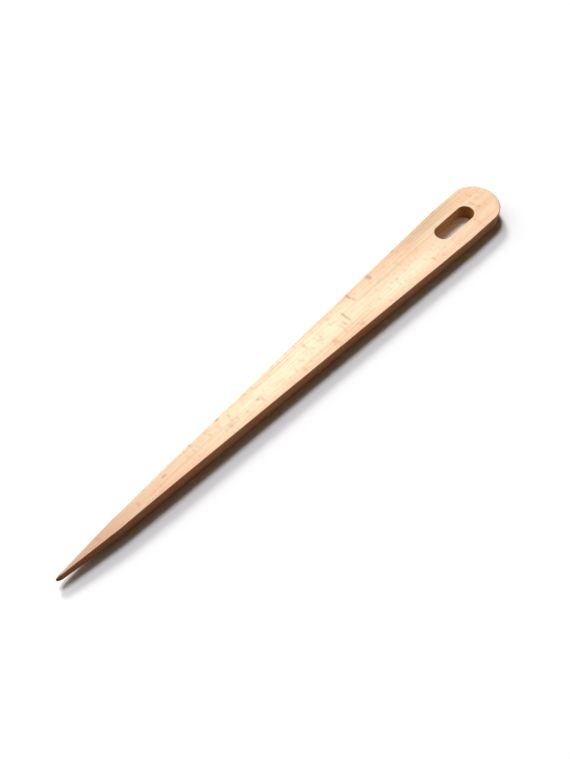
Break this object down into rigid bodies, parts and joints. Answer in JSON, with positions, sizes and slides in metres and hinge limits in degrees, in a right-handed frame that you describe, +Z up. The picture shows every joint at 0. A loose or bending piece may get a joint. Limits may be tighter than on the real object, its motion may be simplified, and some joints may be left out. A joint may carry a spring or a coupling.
{
  "type": "weaving needle",
  "caption": "Flat wooden weaving needle that tapers from a round head with a long eye for the yarn to a slim point.",
  "frame": {"origin": "in the plane of the flat underside, halfway along the needle and halfway across it", "axes": "+X along the needle towards the head and its eye, so the point is towards -X; +Y across the width; +Z up through the thickness, along the eye"},
  "size_m": [0.256, 0.0228, 0.0072],
  "materials": {
    "beech": "sanded smooth, unvarnished"
  },
  "bodies": {
    "root": {"needle": "beech"}
  },
  "joints": []
}
